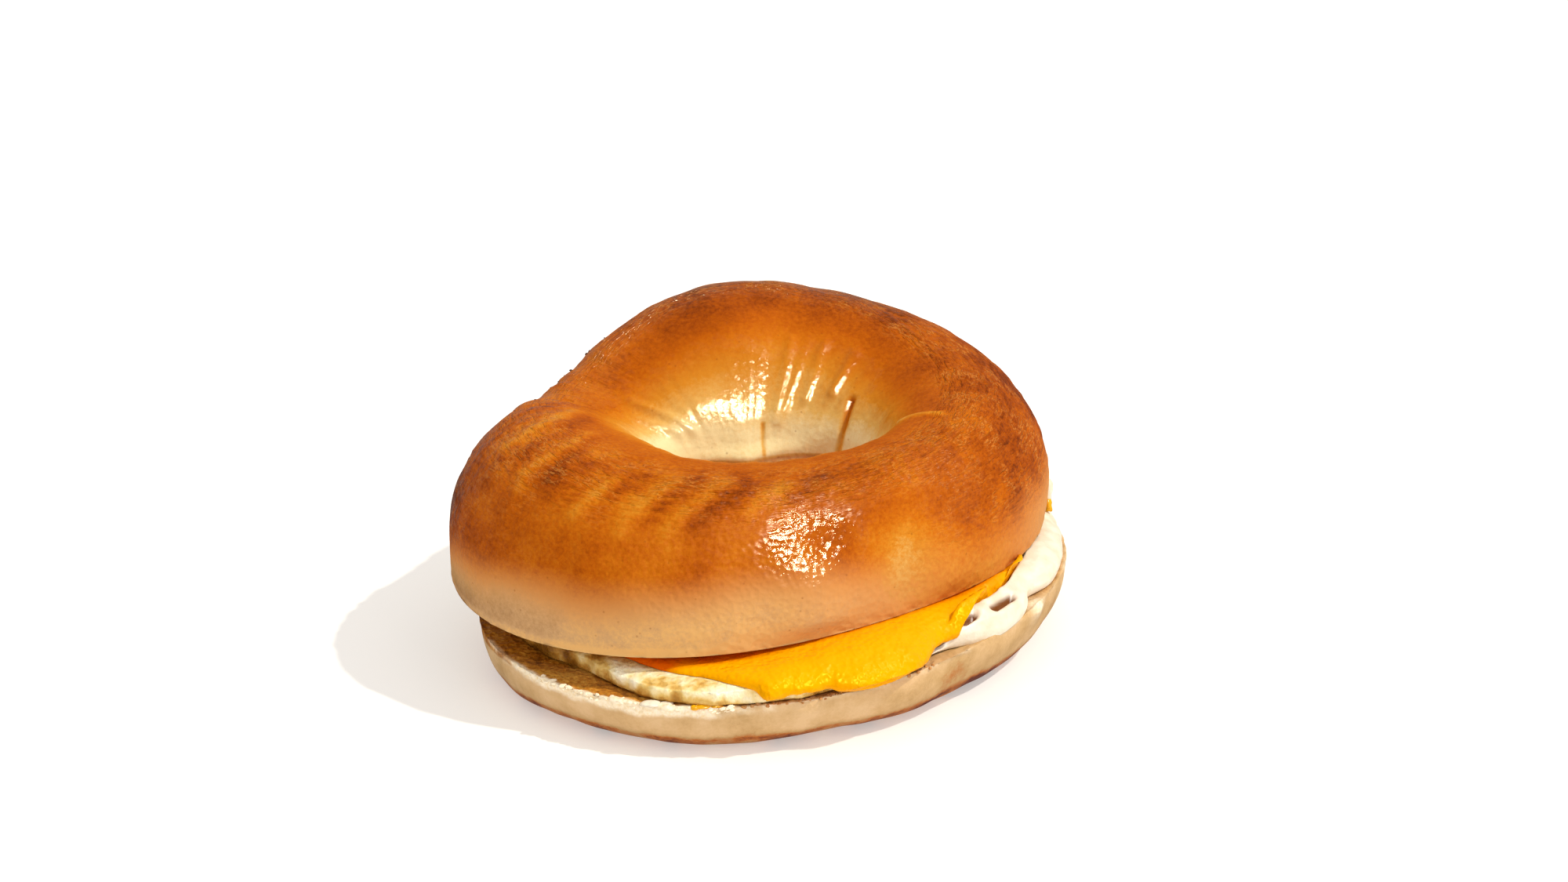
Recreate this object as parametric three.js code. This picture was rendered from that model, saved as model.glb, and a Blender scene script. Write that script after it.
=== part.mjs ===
// A plain bagel sliced through and filled, standing on its bottom slice. Millimetres, +Z up, -Y is the front.
// Five solids lie on each other: bottom slice, soft white spread, cooked egg, melted cheese slice, top half.
// Bearings are degrees counter-clockwise from +X seen from above: 0 right, 90 back, 180 left, 270 front.
import * as THREE from 'three';

const gap = 0.4;                        // left between two pieces that lie on each other

// A ring of dough isn't even. A wave is [crests round the ring, size, bearing of one crest], and a swelling
// is one rounded bump at a bearing: the larger its tight is, the narrower it is.
const bottomAt = [3.1, -1.9];           // middle of the bottom slice
const bottomRadius = 51.5;              // to the rim of its cut face
const bottomOval = [[2, 5.5, 40], [3, 0.5, 59]];
const bottomHeight = 10.9;              // floor to the rim
const bottomRise = [[1, 1.7, 14], [2, 0.6, 4]];
const bottomTuck = 7.5;                 // the crust rounds in this much towards the floor
const tuckWave = [[1, 2.6, 330]];
const bottomDish = 2.0;                 // the cut face sinks this much in the middle
const bottomHole = 12;                  // radius
const bottomHoleOval = [[2, 2, 0]];
const holeRound = 3;                    // rounding of the hole's edge at the floor

const topAt = [-1.7, 3.9];              // the top half lies a little to the left and back
const topRadius = 51.7;                 // to the widest line of the crust
const topOval = [[1, 0.6, 137], [2, 5.7, 32], [3, 0.4, 44]];
const topHeight = 31.1;                 // cut to the crest of the ring
const topRise = [[1, 2.5, 109], [2, 1.2, 93], [3, 0.7, 91]];
const crestRadius = 37.0;
const crestWave = [[1, 1.2, 254], [2, 0.8, 36]];
const belly = 6.5;                      // height of the widest line above the cut
const cutHeight = 16.3;                 // height of the cut at the middle of the top half
const cutLean = [0.020, 0.044];         // slope of the cut towards +X and +Y
const cutLift = { at: 300, size: 2.8, tight: 1.5 };     // the filling holds the edge up here
const cutDome = 3.0;                    // the soft crumb gives way over the filling
const throatRadius = 15.5;
const throatWave = [[1, 6.1, 294], [2, 3.4, 0]];        // the hole is oval and lies nearer the front
const throatHeight = 13.0;              // straight part of the hole above the cut
// The hole's wall bends from the crest to the throat: 2 is an ellipse, less is straighter, more is squarer.
const wallFullness = 1.93;
const fullnessWave = [[1, 0.5, 278]];
// The ends of the rolled dough meet in a waist, narrower and lower than the rest of the ring.
const waist = { at: 158, narrow: 3.3, low: 6.9, tight: 9.3 };

const spreadUnder = 0.8;                // pressed thin under the egg
const spreadBead = 2.2;                 // stands this much higher where no egg presses on it
const beadRise = 1.5;                   // and rises to that within this distance
const beadSwellings = [{ at: 345, size: 1.0, tight: 2 }, { at: 28, size: 2.4, tight: 14 }];
const spreadInset = 1.0;                // from the rim of the bottom slice
const spreadSwellings = [{ at: 205, size: 12, tight: 2 }, { at: 28, size: -1.5, tight: 20 }];
const spreadHole = 15.5;                // radius

const eggEdge = 5.0;                    // width of its rounded edge
const eggInset = 3.2;                   // from the rim of the bottom slice
const eggSwellings = [{ at: 355, size: 7, tight: 4.5 }, { at: 208, size: 2.2, tight: 12 },
  { at: 262, size: -3.0, tight: 5 }];

const cheeseThickness = 2.2;
const cheeseReach = 41;                 // measured over the egg from its middle
const cheeseDrape = { at: 300, size: 15, tight: 2.0 };   // the melted slice hangs down here
const cheeseUndercut = 22.5;            // degrees that it can reach round under the egg's edge

// Steps of each surface, fine enough that the faces of two neighbours stay apart.
const topAround = 84;
const bottomAround = 72;
const fillingAround = 60;
const throatSteps = 8;
const crustSteps = 10;
const sideSteps = 5;
const faceSteps = 3;
const eggTopSteps = 4;
const eggEdgeSteps = 6;

const rad = Math.PI / 180;
const mix = (a, b, t) => a + (b - a) * t;
const clamp = (value, low, high) => Math.min(Math.max(value, low), high);
const smooth = (t) => clamp(t, 0, 1) ** 2 * (3 - 2 * clamp(t, 0, 1));
const waves = (list, angle) => list.reduce(
  (sum, [crests, size, bearing]) => sum + size * Math.cos(crests * (angle - bearing * rad)), 0);
const swelling = ({ at, size, tight }, angle) => size * Math.exp(tight * (Math.cos(angle - at * rad) - 1));
const swellings = (list, angle) => list.reduce((sum, each) => sum + swelling(each, angle), 0);
const around = ([cx, cy], r, angle) => [cx + r * Math.cos(angle), cy + r * Math.sin(angle)];

// Outlines, each a distance from the middle of its own piece at a bearing.
const atWaist = (angle) => swelling({ ...waist, size: 1 }, angle);
const rimRadius = (angle) => bottomRadius + waves(bottomOval, angle);
const spreadRadius = (angle) => rimRadius(angle) - spreadInset - swellings(spreadSwellings, angle);
const eggRadius = (angle) => rimRadius(angle) - eggInset - swellings(eggSwellings, angle);
const outerRadius = (angle) => topRadius + waves(topOval, angle) - waist.narrow * atWaist(angle);
const crestAt = (angle) => crestRadius + waves(crestWave, angle);
const crestHeight = (angle) => topHeight + waves(topRise, angle) - waist.low * atWaist(angle);

// The crust's outer arc is an ellipse about (crestAt, belly) that turns in below the widest line to the cut.
function cutEdge(angle) {
  const lift = swelling(cutLift, angle);
  const turn = -Math.asin((belly - lift) / (crestHeight(angle) - belly));
  return { lift, turn, radius: mix(crestAt(angle), outerRadius(angle), Math.cos(turn)) };
}

const leanAt = (x, y) => cutLean[0] * (x - topAt[0]) + cutLean[1] * (y - topAt[1]);

// Height of the top half's underside over the point (x, y).
function underside(x, y) {
  const edge = cutEdge(Math.atan2(y - topAt[1], x - topAt[0]));
  const q = Math.min(Math.hypot(x - topAt[0], y - topAt[1]) / edge.radius, 1);
  return cutHeight + leanAt(x, y) + edge.lift * q * q + cutDome * (1 - q * q);
}

// Heights over the bottom slice: its cut face is full at the rim and dished in the middle.
function faceHeight(r, angle) {
  const q = Math.min(r / rimRadius(angle), 1);
  return bottomHeight + waves(bottomRise, angle) * q - bottomDish * (1 - q * q);
}

const roofHeight = (r, angle) => underside(...around(bottomAt, r, angle)) - gap;
const spreadFloor = (r, angle) => faceHeight(r, angle) + gap;
const eggFloor = (r, angle) => spreadFloor(r, angle) + spreadUnder + gap;
const eggTop = (r, angle) => roofHeight(r, angle) - cheeseThickness - gap;
const beadStart = (angle) => eggRadius(angle) + gap + cheeseThickness + gap;

// The spread is thin under the egg, then stands in a bead out to the rim, where there is room for one.
function spreadTop(r, angle) {
  const start = beadStart(angle);
  const room = smooth((spreadRadius(angle) - start) / (2 * beadRise));
  const bead = (spreadBead + swellings(beadSwellings, angle)) * room * smooth((r - start) / beadRise);
  return Math.min(spreadFloor(r, angle) + spreadUnder + bead, roofHeight(r, angle));
}

// The egg from its middle over the top and round its edge: points with the normal of the surface there.
function eggPath(angle, topSteps, edgeSteps) {
  const flat = eggRadius(angle) - eggEdge;
  const floor = eggFloor(flat, angle);
  const half = (eggTop(flat, angle) - floor) / 2;
  const points = [];
  for (let i = 0; i < topSteps; i += 1) {
    const r = flat * i / topSteps;
    points.push({ r, z: eggTop(r, angle), normal: [0, 1] });
  }
  for (let i = 0; i <= edgeSteps; i += 1) {
    const turn = Math.PI / 2 - Math.PI * i / edgeSteps;
    const slope = [Math.cos(turn) / eggEdge, Math.sin(turn) / half];
    points.push({
      r: flat + eggEdge * Math.cos(turn),
      z: floor + half + half * Math.sin(turn),
      normal: slope.map((value) => value / Math.hypot(...slope)),
    });
  }
  return points;
}

// Sections, as [r, z] at a bearing. They run outwards over the top, down the outside and back in underneath.
function topSection(angle) {
  const points = [];
  const edge = cutEdge(angle);
  const outer = outerRadius(angle);
  const crest = crestAt(angle);
  const height = crestHeight(angle);
  const throat = throatRadius + waves(throatWave, angle);
  const power = 2 / (wallFullness + waves(fullnessWave, angle));
  const push = (r, z) => points.push([r, cutHeight + leanAt(...around(topAt, r, angle)) + z]);
  for (let i = 0; i <= throatSteps; i += 1) {
    const turn = Math.PI / 2 * i / throatSteps;
    push(mix(crest, throat, Math.cos(turn) ** power), mix(throatHeight, height, Math.sin(turn) ** power));
  }
  for (let i = 1; i <= crustSteps; i += 1) {
    const turn = mix(Math.PI / 2, edge.turn, i / crustSteps);
    push(mix(crest, outer, Math.cos(turn)), mix(belly, height, Math.sin(turn)));
  }
  for (let i = 1; i <= faceSteps; i += 1) {
    const r = mix(edge.radius, throat, i / faceSteps);
    points.push([r, underside(...around(topAt, r, angle))]);
  }
  return points;
}

function bottomSection(angle) {
  const points = [];
  const rim = rimRadius(angle);
  const hole = bottomHole + waves(bottomHoleOval, angle);
  const height = faceHeight(rim, angle);
  const tuck = bottomTuck + waves(tuckWave, angle);
  for (let i = 0; i <= faceSteps; i += 1) {
    const r = mix(hole, rim, i / faceSteps);
    points.push([r, faceHeight(r, angle)]);
  }
  for (let i = 1; i <= sideSteps; i += 1) {
    const turn = Math.PI / 2 * i / sideSteps;
    points.push([mix(rim - tuck, rim, Math.cos(turn)), height * (1 - Math.sin(turn))]);
  }
  for (let i = 0; i <= 2; i += 1) {
    const turn = Math.PI / 2 * i / 2;
    points.push([hole + holeRound * (1 - Math.sin(turn)), holeRound * (1 - Math.cos(turn))]);
  }
  return points;
}

function spreadSection(angle) {
  const rim = spreadRadius(angle);
  const knee = Math.min(beadStart(angle), rim - beadRise);
  const middle = mix(spreadHole, knee, 0.5);
  const over = [spreadHole, middle, knee, mix(knee, rim, 0.35), mix(knee, rim, 0.65), mix(knee, rim, 0.92)];
  const low = spreadFloor(rim, angle);
  return [
    ...over.map((r) => [r, spreadTop(r, angle)]),
    [rim, mix(low, spreadTop(rim, angle), 0.6)],
    [rim - gap, low],
    [middle, spreadFloor(middle, angle)],
    [spreadHole, spreadFloor(spreadHole, angle)],
  ];
}

function eggSection(angle) {
  const points = eggPath(angle, eggTopSteps, eggEdgeSteps).map(({ r, z }) => [r, z]);
  const flat = eggRadius(angle) - eggEdge;
  for (let i = faceSteps - 1; i >= 0; i -= 1) {
    const r = flat * i / faceSteps;
    points.push([r, eggFloor(r, angle)]);
  }
  return points;
}

// The slice of cheese lies one gap over the egg, as far along the egg's path as the slice reaches.
function cheeseSection(angle) {
  const topSteps = 12;
  const edgeSteps = 24;
  const round = Math.floor(edgeSteps * (90 + cheeseUndercut) / 180);
  const path = eggPath(angle, topSteps, edgeSteps).slice(0, topSteps + round + 1);
  const between = (a, b, t) => {
    const normal = [0, 1].map((k) => mix(a.normal[k], b.normal[k], t));
    return {
      r: mix(a.r, b.r, t),
      z: mix(a.z, b.z, t),
      normal: normal.map((value) => value / Math.hypot(...normal)),
    };
  };

  let left = cheeseReach + swelling(cheeseDrape, angle);
  const kept = [path[0]];
  for (let i = 1; i < path.length && left > 0; i += 1) {
    const step = Math.hypot(path[i].r - path[i - 1].r, path[i].z - path[i - 1].z);
    kept.push(between(path[i - 1], path[i], Math.min(left / step, 1)));
    left -= step;
  }
  // Out from the egg by a distance, at a share of the way along the kept path, but never into the spread.
  const point = (share, distance) => {
    const place = share * (kept.length - 1);
    const low = Math.min(Math.floor(place), kept.length - 2);
    const on = between(kept[low], kept[low + 1], place - low);
    const r = on.r + on.normal[0] * distance;
    return [r, Math.max(on.z + on.normal[1] * distance, spreadTop(r, angle) + gap)];
  };
  const shares = [0, 0.2, 0.4, 0.55, 0.68, 0.8, 0.9, 0.96];
  const standOff = (share) => gap * (1 + 1.8 * share);      // its hanging edge leaves the egg a little
  return [
    ...shares.map((share) => point(share, gap + cheeseThickness)),
    point(1, gap + cheeseThickness / 2),
    ...shares.toReversed().map((share) => point(share, standOff(share))),
  ];
}

// A closed body with a section at each bearing. A disc's sections start and end on its axis, at two poles,
// and a ring's sections close on themselves.
function turned(section, centre, steps, isDisc) {
  const rows = [];
  for (let i = 0; i < steps; i += 1) {
    const angle = 2 * Math.PI * i / steps;
    rows.push(section(angle).map(([r, z]) => [...around(centre, r, angle), z]));
  }
  const poles = isDisc ? [rows[0].at(0), rows[0].at(-1)] : [];
  const used = rows.map((row) => (isDisc ? row.slice(1, -1) : row));
  const count = used[0].length;
  const positions = [...used.flat(2), ...poles.flat()];
  const at = (i, j) => (i % steps) * count + (j % count);
  const index = [];
  for (let i = 0; i < steps; i += 1) {
    for (let j = 0; j < (isDisc ? count - 1 : count); j += 1) {
      index.push(at(i, j), at(i, j + 1), at(i + 1, j));
      index.push(at(i + 1, j), at(i, j + 1), at(i + 1, j + 1));
    }
    if (isDisc) {
      index.push(steps * count, at(i, 0), at(i + 1, 0));
      index.push(steps * count + 1, at(i + 1, count - 1), at(i, count - 1));
    }
  }
  const geometry = new THREE.BufferGeometry();
  geometry.setAttribute('position', new THREE.Float32BufferAttribute(positions, 3));
  geometry.setIndex(index);
  geometry.computeVertexNormals();
  return geometry;
}

const looks = {
  crust: { color: 0xc4722c, roughness: 0.38, metalness: 0 },
  paleCrust: { color: 0xd9b48a, roughness: 0.7, metalness: 0 },
  spread: { color: 0xf3ede0, roughness: 0.45, metalness: 0 },
  egg: { color: 0xf0e3b0, roughness: 0.5, metalness: 0 },
  cheese: { color: 0xf7b413, roughness: 0.3, metalness: 0 },
};

const bagel = new THREE.Group();
function add(name, geometry, look) {
  const mesh = new THREE.Mesh(geometry, new THREE.MeshStandardMaterial(look));
  mesh.name = name;
  bagel.add(mesh);
}
add('bagel_bottom', turned(bottomSection, bottomAt, bottomAround, false), looks.paleCrust);
add('spread', turned(spreadSection, bottomAt, fillingAround, false), looks.spread);
add('egg', turned(eggSection, bottomAt, fillingAround, true), looks.egg);
add('cheese', turned(cheeseSection, bottomAt, fillingAround, true), looks.cheese);
add('bagel_top', turned(topSection, topAt, topAround, false), looks.crust);

export default bagel;
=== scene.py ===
import itertools

import bpy
import numpy as np
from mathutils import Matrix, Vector


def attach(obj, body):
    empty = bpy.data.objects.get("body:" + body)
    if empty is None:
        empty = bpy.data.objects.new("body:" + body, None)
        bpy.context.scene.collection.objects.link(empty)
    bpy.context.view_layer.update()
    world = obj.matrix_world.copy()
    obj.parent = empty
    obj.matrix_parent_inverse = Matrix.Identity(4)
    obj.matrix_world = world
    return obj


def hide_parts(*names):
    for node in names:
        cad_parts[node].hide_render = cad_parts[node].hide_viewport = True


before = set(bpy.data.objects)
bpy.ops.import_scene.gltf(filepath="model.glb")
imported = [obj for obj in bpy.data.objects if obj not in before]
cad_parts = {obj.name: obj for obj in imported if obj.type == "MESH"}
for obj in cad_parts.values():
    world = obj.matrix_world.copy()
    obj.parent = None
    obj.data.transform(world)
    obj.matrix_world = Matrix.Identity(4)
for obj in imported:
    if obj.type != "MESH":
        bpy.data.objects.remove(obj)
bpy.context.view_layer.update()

# A filled bagel. Lengths are millimetres until a mesh is made, +Z is up, and -Y is the front.
# Bearings run counter-clockwise from +X seen from above: 0 right, 90 back, 180 left, 270 front.
millimetre = 0.001
noiseMiddle = 0.5                   # the middle value of Blender's noises


def waves(crests, bearing):
    # sum of size * cos(count * (bearing - at)) over waves given as (count, size, at in degrees)
    return sum(size * np.cos(count * (bearing - np.radians(at))) for count, size, at in crests)


def swelling(bearing, at, size, tight):
    # one rounded bump at a bearing: size * exp(tight * (cos(bearing - at) - 1))
    return size * np.exp(tight * (np.cos(bearing - np.radians(at)) - 1))


def swellings(bumps, bearing):
    # the sum of such bumps, given as (at, size, tight)
    return sum(swelling(bearing, *bump) for bump in bumps)


def mix(a, b, share):
    # a + (b - a) * share: a at 0 and b at 1
    return a + (b - a) * share


def ramp(x, low, high):
    # 0 below low, 1 above high, and an S curve between them
    t = np.clip((x - low) / (high - low), 0, 1)
    return t * t * (3 - 2 * t)


def between(x, low, full, fall, end):
    # 0 below low, 1 from full to fall, and 0 again above end
    return ramp(x, low, full) * (1 - ramp(x, fall, end))


def bump(x, middle, width):
    # a bell: exp(-((x - middle) / width)^2)
    return np.exp(-((x - middle) / width) ** 2)


def around(centre, radius, bearing):
    # the point at a radius and a bearing from a centre
    return centre[0] + radius * np.cos(bearing), centre[1] + radius * np.sin(bearing)


def fromBearing(bearing, at):
    # signed angle in degrees from a bearing, between -180 and 180
    return (np.degrees(bearing) - at + 180) % 360 - 180


def near(bearing, at, width):
    # a bell round a bearing, both in degrees
    return bump(fromBearing(bearing, at), 0, width)


def zones(places, bearing, along):
    # sum of size * a bell round a bearing, over places given as (size, bearing, width), each times an
    # S curve on the way across if the ways where it starts and is full are given too
    return sum(size * near(bearing, at, width) * (ramp(along, *ways) if ways else 1)
               for size, at, width, *ways in places)


def softNoise(points, size, seed):
    # gradient noise: each corner of a lattice of cubes has a random slope, and the slopes of the
    # eight corners round a point are blended with an S curve. About -1 to 1, one swing per size.
    # Large odd numbers stir the bits of a corner's place and seed, of which 32 and then 16 are kept.
    placeStirs, seedStir, bitStirs = (73856093, 19349663, 83492791), 2654435, (1274126177, 2246822519)
    whole, half, seedsApart, gain = 0xffffffff, 0xffff, 7.31, 1.6
    place = points / size + seed * seedsApart
    cell = np.floor(place)
    part = place - cell
    blend = part ** 3 * (part * (part * 6 - 15) + 10)
    cell = cell.astype(np.int64)
    total = np.zeros(points.shape[:-1])
    for corner in itertools.product((0, 1), repeat=3):
        mixed = np.bitwise_xor.reduce((cell + corner) * placeStirs, axis=-1) ^ (seed * seedStir)
        mixed = ((mixed & whole) * bitStirs[0]) & whole
        mixed = ((mixed ^ (mixed >> 15)) * bitStirs[1]) & whole
        mixed ^= mixed >> 13
        turn = (mixed & half) / (half + 1) * 2 * np.pi
        rise = 2 * (mixed >> 16) / (half + 1) - 1
        flat = np.sqrt(1 - rise ** 2)
        off = part - corner
        slope = flat * np.cos(turn) * off[..., 0] + flat * np.sin(turn) * off[..., 1] + rise * off[..., 2]
        total += slope * np.prod(np.where(corner, blend, 1 - blend), axis=-1)
    return total * gain


def layered(points, size, layers, seed):
    # softNoise at a size, at half of it with half the strength, and so on
    return sum(softNoise(points, size / 2 ** k, seed + k) / 2 ** k for k in range(layers))


def creases(points, size, width, seed):
    # narrow ridges of height 1 along the lines where softNoise passes zero
    return np.exp(-(softNoise(points, size, seed) / width) ** 2)


def unrolled(turn, along, radius, length):
    # the dough unrolled on a cylinder of a radius, with its way across as the height, so that noise
    # read there is drawn out: round the ring by a small radius, or across it by a short length
    parts = np.broadcast_arrays(radius * np.cos(turn), radius * np.sin(turn), along * length)
    return np.stack(parts, -1)


bottomHalf = {
    "at": (3.1, -1.9),                            # its middle, seen from above
    "radius": 51.5, "oval": [(2, 5.5, 40), (3, 0.5, 59)],
    "height": 10.9, "rise": [(1, 1.7, 14), (2, 0.6, 4)],
    "tuck": 7.5, "tuckWave": [(1, 2.6, 330)],     # how far the crust rounds in towards the floor
    "dish": 2.0,                                  # the cut face sinks this much in the middle
    "hole": 12, "holeOval": [(2, 2, 0)], "holeRound": 3,
}

topHalf = {
    "at": (-1.7, 3.9),
    "radius": 51.7, "oval": [(1, 0.6, 137), (2, 5.7, 32), (3, 0.4, 44)],
    "height": 31.1, "rise": [(1, 2.5, 109), (2, 1.2, 93), (3, 0.7, 91)],
    "crest": 37.0, "crestWave": [(1, 1.2, 254), (2, 0.8, 36)],
    "belly": 6.5,                                 # height of the widest line above the cut
    "cut": 16.3, "lean": (0.020, 0.044),          # height and slope of the cut
    "lift": (300, 2.8, 1.5),                      # the filling holds the edge up here
    "dome": 3.0,
    "throat": 15.5, "throatWave": [(1, 6.1, 294), (2, 3.4, 0)], "throatHeight": 13.0,
    "fullness": 1.93, "fullnessWave": [(1, 0.5, 278)],          # 2 bends the hole's wall in an ellipse
    "waist": 158, "narrow": 3.3, "low": 6.9, "tight": 9.3,      # where the ends of the dough meet
}

filling = {
    "gap": 0.4, "roofGap": 0.12,                  # between pieces, and under the top half
    "spreadUnder": 0.8, "spreadInset": 0.9, "spreadHole": 15.5,
    "spreadSwellings": [(205, 12, 2), (333, -1.4, 10), (344, 2.6, 260), (311, 2.2, 100), (25, 0.6, 20)],
    "bead": 2.2, "beadRise": 1.5, "beadFall": 0.5, "beadUnder": (315, 2.3, 40),
    "beadSwellings": [(345, 1.0, 2), (28, 2.4, 14), (322, 1.9, 24), (356, 1.4, 40)],
    "eggEdge": 5.0, "eggFoot": 0.55, "eggSag": 1.7, "eggInset": 3.2,
    "eggSwellings": [(355, 7, 4.5), (208, 2.2, 12), (262, -3.0, 5), (229, 3.8, 30)],
    "cheese": 2.2,
}


# How far out things reach at a bearing: a radius and its waves, less an inset and its swellings, or
# less how much the waist narrows it. Heights: a height and its waves, less how low the waist is.
def rimRadius(bearing):
    return bottomHalf["radius"] + waves(bottomHalf["oval"], bearing)


def spreadRadius(bearing):
    return rimRadius(bearing) - filling["spreadInset"] - swellings(filling["spreadSwellings"], bearing)


def eggRadius(bearing):
    return rimRadius(bearing) - filling["eggInset"] - swellings(filling["eggSwellings"], bearing)


def atWaist(bearing):
    return swelling(bearing, topHalf["waist"], 1, topHalf["tight"])


def outerRadius(bearing):
    return topHalf["radius"] + waves(topHalf["oval"], bearing) - topHalf["narrow"] * atWaist(bearing)


def crestAt(bearing):
    return topHalf["crest"] + waves(topHalf["crestWave"], bearing)


def crestHeight(bearing):
    return topHalf["height"] + waves(topHalf["rise"], bearing) - topHalf["low"] * atWaist(bearing)


def cutEdge(bearing):
    # where the crust's arc meets the cut: its lift over the cut, the arc's angle there and its radius
    belly = topHalf["belly"]
    lift = swelling(bearing, *topHalf["lift"])
    turn = -np.arcsin((belly - lift) / (crestHeight(bearing) - belly))
    return lift, turn, mix(crestAt(bearing), outerRadius(bearing), np.cos(turn))


def cutPlane(x, y):
    # height + slope * distance from the middle, both ways
    cx, cy = topHalf["at"]
    return topHalf["cut"] + topHalf["lean"][0] * (x - cx) + topHalf["lean"][1] * (y - cy)


def underside(x, y):
    # the top half's cut face: the leaning plane, lifted at the edge and domed over the filling
    cx, cy = topHalf["at"]
    lift, _, radius = cutEdge(np.arctan2(y - cy, x - cx))
    q = np.minimum(np.hypot(x - cx, y - cy) / radius, 1)
    return cutPlane(x, y) + lift * q ** 2 + topHalf["dome"] * (1 - q ** 2)


def faceHeight(radius, bearing):
    # the bottom half's cut face: full at the rim and dished in the middle
    q = np.minimum(radius / rimRadius(bearing), 1)
    half = bottomHalf
    return half["height"] + waves(half["rise"], bearing) * q - half["dish"] * (1 - q ** 2)


# The filling's levels, one above the other: each is the one below or above it and a thickness or gap.
def roofHeight(radius, bearing):
    return underside(*around(bottomHalf["at"], radius, bearing)) - filling["roofGap"]


def spreadFloor(radius, bearing):
    return faceHeight(radius, bearing) + filling["gap"]


def eggFloor(radius, bearing):
    return spreadFloor(radius, bearing) + filling["spreadUnder"] + filling["gap"]


def eggTop(radius, bearing):
    return roofHeight(radius, bearing) - filling["cheese"] - filling["gap"]


def spreadTop(radius, bearing):
    # thin under the egg, then a bead where there is room for one, which falls off towards the rim
    under = swelling(bearing, *filling["beadUnder"])
    start = eggRadius(bearing) + filling["gap"] * 2 + filling["cheese"] - under
    width, out = spreadRadius(bearing) - start, radius - start
    room = ramp(width / (2 * filling["beadRise"]), 0, 1)
    bead = filling["bead"] + swellings(filling["beadSwellings"], bearing)
    fall = 1 - filling["beadFall"] * np.clip(out / np.maximum(width, 1), 0, 1) ** 2
    over = bead * room * fall * ramp(out / filling["beadRise"], 0, 1)
    top = spreadFloor(radius, bearing) + filling["spreadUnder"] + over
    return np.minimum(top, roofHeight(radius, bearing))


def grid(steps, columns):
    # bearings down the rows and the way across the section along the columns
    bearing = np.linspace(0, 2 * np.pi, steps, endpoint=False)[:, None]
    return np.broadcast_arrays(bearing, columns[None, :])


def bent(*parts):
    # the way across, as whole numbers of parts with a number of steps in each; a part may also have
    # a power, which packs its steps towards its end
    lines = []
    for number, (steps, power) in enumerate(parts):
        share = np.arange(steps) / steps
        lines.append(number + 1 - (1 - share) ** power)
    return np.concatenate(lines)


def outward(points):
    # unit normals of a grid that closes on itself both ways, from the steps to its neighbours
    across = np.roll(points, -1, 1) - np.roll(points, 1, 1)
    along = np.roll(points, -1, 0) - np.roll(points, 1, 0)
    normal = np.cross(across, along)
    return normal / np.maximum(np.linalg.norm(normal, axis=-1, keepdims=True), 1e-9)


def spot(surface, bearing, along):
    # the point of a smooth surface at one bearing and one place on the way across it
    return surface(np.radians(np.array([[float(bearing)]])), np.array([[float(along)]]))[0, 0]


def swell(points, surface, places):
    # sum of height * exp(-(distance / width)^2) over places (bearing, along, height, width)
    total = 0
    for bearing, along, height, width in places:
        away = np.linalg.norm(points - spot(surface, bearing, along), axis=-1) / width
        total = total + height * np.exp(-away ** 2)
    return total


def seam(points, surface, places, width):
    # exp(-(distance / width)^2) from the line of straight pieces through places (bearing, along)
    ends = [spot(surface, *place) for place in places]
    nearest = np.full(points.shape[:-1], 1e9)
    for start, end in zip(ends, ends[1:]):
        run = end - start
        share = np.clip((points - start) @ run / (run @ run), 0, 1)
        nearest = np.minimum(nearest, np.linalg.norm(points - start - share[..., None] * run, axis=-1))
    return np.exp(-(nearest / width) ** 2)


def shell(points, isDisc):
    # vertices and quads of a grid that closes round the ring. A ring also closes across its section;
    # a disc's first and last columns are one point each, its two poles, joined by triangles.
    rows, columns = points.shape[:2]
    count = columns - 2 if isDisc else columns
    vertices = (points[:, 1:-1] if isDisc else points).reshape(rows * count, -1)
    i, j = np.meshgrid(np.arange(rows), np.arange(count - isDisc), indexing="ij")
    nextRow, nextColumn = (i + 1) % rows, (j + 1) % count
    corners = (i * count + j, i * count + nextColumn, nextRow * count + nextColumn, nextRow * count + j)
    faces = np.stack(corners, -1).reshape(-1, 4).tolist()
    if isDisc:
        poles = [points[:, end].reshape(rows, -1).mean(0) for end in (0, -1)]
        vertices = np.concatenate([vertices, poles])
        here = np.arange(rows) * count
        after = np.roll(here, -1)
        middle = np.full(rows, rows * count)
        faces += np.stack([middle, here, after], -1).tolist()
        faces += np.stack([middle + 1, after + count - 1, here + count - 1], -1).tolist()
    return vertices, faces


def makePiece(name, shells, material, replaces=None, isDisc=False, fields=None):
    # one mesh of one or more closed grids. Fields are numbers or vectors kept for each vertex.
    vertices, faces = [], []
    for points in shells:
        start = sum(map(len, vertices))
        placed, joined = shell(points, isDisc)
        vertices.append(placed)
        faces += [[start + corner for corner in face] for face in joined] if start else joined
    mesh = bpy.data.meshes.new(name)
    mesh.from_pydata((np.concatenate(vertices) * millimetre).tolist(), [], faces)
    for key, values in (fields or {}).items():
        isVector = values.ndim == 3
        layer = mesh.attributes.new(key, "FLOAT_VECTOR" if isVector else "FLOAT", "POINT")
        flat = shell(values, isDisc)[0].astype(np.float32)
        layer.data.foreach_set("vector" if isVector else "value", flat.ravel())
    mesh.polygons.foreach_set("use_smooth", [True] * len(mesh.polygons))
    mesh.update()
    mesh.materials.append(material)
    piece = bpy.data.objects.new(name, mesh)
    bpy.context.scene.collection.objects.link(piece)
    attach(piece, "root")
    if replaces:
        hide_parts(replaces)
    print(name, len(mesh.polygons), "faces")


def colour(text):
    # sRGB hex to linear, as Blender's sockets want it
    parts = [int(text[k:k + 2], 16) / 255 for k in (0, 2, 4)]
    return [c / 12.92 if c <= 0.04045 else ((c + 0.055) / 1.055) ** 2.4 for c in parts] + [1]


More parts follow.
